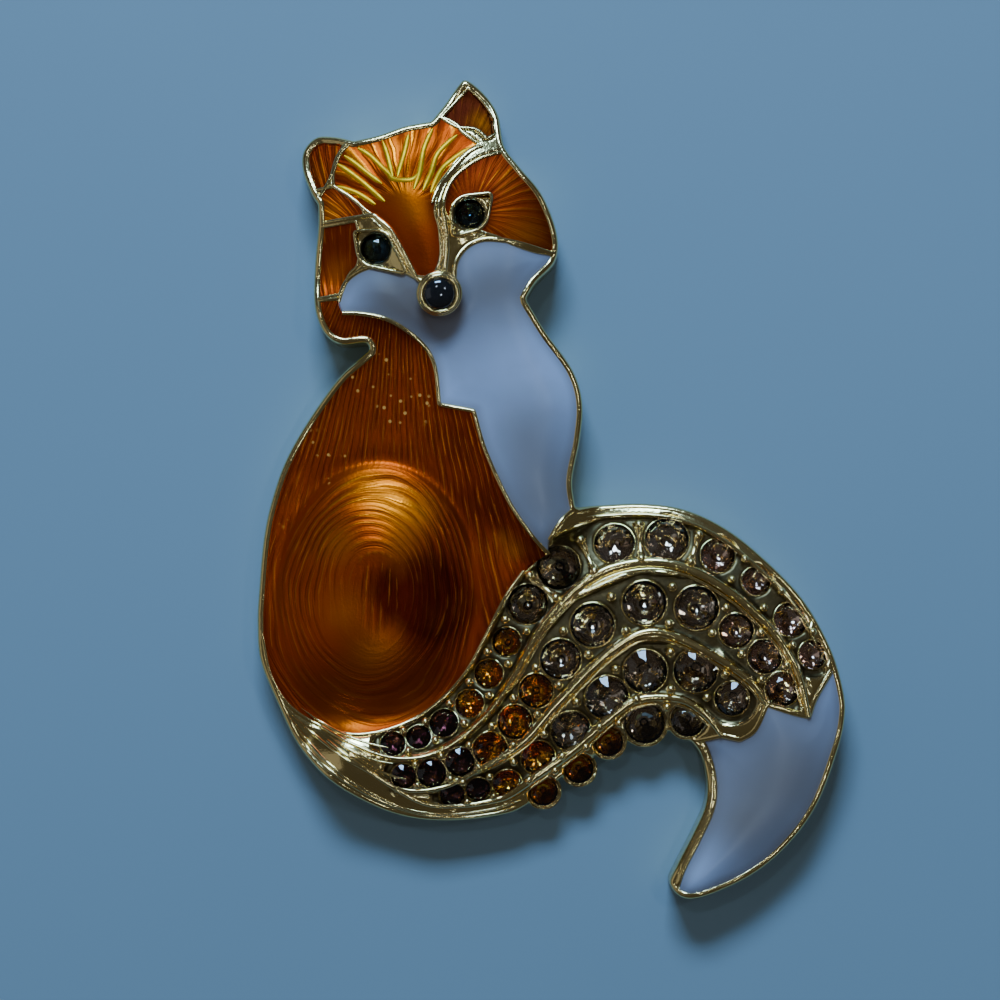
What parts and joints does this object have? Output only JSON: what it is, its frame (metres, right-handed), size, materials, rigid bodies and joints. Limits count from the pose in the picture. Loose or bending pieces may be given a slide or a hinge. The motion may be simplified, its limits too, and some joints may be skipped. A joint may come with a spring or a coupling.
{
  "type": "figural fox brooch",
  "caption": "Seated fox brooch: gold-plated hollow-backed casting, translucent orange and white enamel, bushy tail set with graded glass stones, pin at the back.",
  "frame": {"origin": "centre of the footprint on the surface the brooch lies on", "axes": "+X to the figure's right as seen from its face, +Y up the figure to the ears, +Z out of its face"},
  "size_m": [0.043, 0.06, 0.007],
  "materials": {
    "gold_plate": "polished pale gold plate",
    "orange_enamel": "glossy translucent enamel over engraved metal",
    "white_enamel": "glossy pearl white enamel",
    "black_enamel": "glossy black",
    "jet_glass": "cut glass, near black",
    "pin_metal": "plain plated steel",
    "amethyst_glass": "foil-backed cut glass",
    "amber_glass": "foil-backed cut glass",
    "champagne_glass": "foil-backed cut glass",
    "peach_glass": "foil-backed cut glass"
  },
  "bodies": {
    "root": {"casting": "gold_plate", "enamel_body": "orange_enamel", "enamel_forehead": "orange_enamel", "enamel_temple": "orange_enamel", "enamel_cheek_left": "orange_enamel", "enamel_cheek_right": "orange_enamel", "enamel_ear_left": "orange_enamel", "enamel_ear_right": "orange_enamel", "enamel_chest": "white_enamel", "enamel_tail_tip": "white_enamel", "nose": "black_enamel", "eye_left": "jet_glass", "eye_right": "jet_glass", "pin_back": "pin_metal", "stone_1_1": "amethyst_glass", "stone_1_2": "amethyst_glass", "stone_1_3": "amethyst_glass", "stone_1_4": "amber_glass", "stone_1_5": "amber_glass", "stone_1_6": "amber_glass", "stone_1_7": "champagne_glass", "stone_1_8": "champagne_glass", "stone_1_9": "champagne_glass", "stone_1_10": "champagne_glass", "stone_1_11": "peach_glass", "stone_1_12": "peach_glass", "stone_1_13": "peach_glass", "stone_1_14": "peach_glass", "stone_2_1": "amethyst_glass", "stone_2_2": "amethyst_glass", "stone_2_3": "amethyst_glass", "stone_2_4": "amber_glass", "stone_2_5": "amber_glass", "stone_2_6": "amber_glass", "stone_2_7": "champagne_glass", "stone_2_8": "champagne_glass", "stone_2_9": "champagne_glass", "stone_2_10": "champagne_glass", "stone_2_11": "peach_glass", "stone_2_12": "peach_glass", "stone_2_13": "peach_glass", "stone_3_1": "amethyst_glass", "stone_3_2": "amethyst_glass", "stone_3_3": "amber_glass", "stone_3_4": "amber_glass", "stone_3_5": "champagne_glass", "stone_3_6": "champagne_glass", "stone_3_7": "champagne_glass", "stone_3_8": "champagne_glass", "stone_3_9": "champagne_glass", "stone_4_1": "amber_glass", "stone_4_2": "amber_glass", "stone_4_3": "amber_glass", "stone_4_4": "champagne_glass", "stone_4_5": "champagne_glass"}
  },
  "joints": []
}
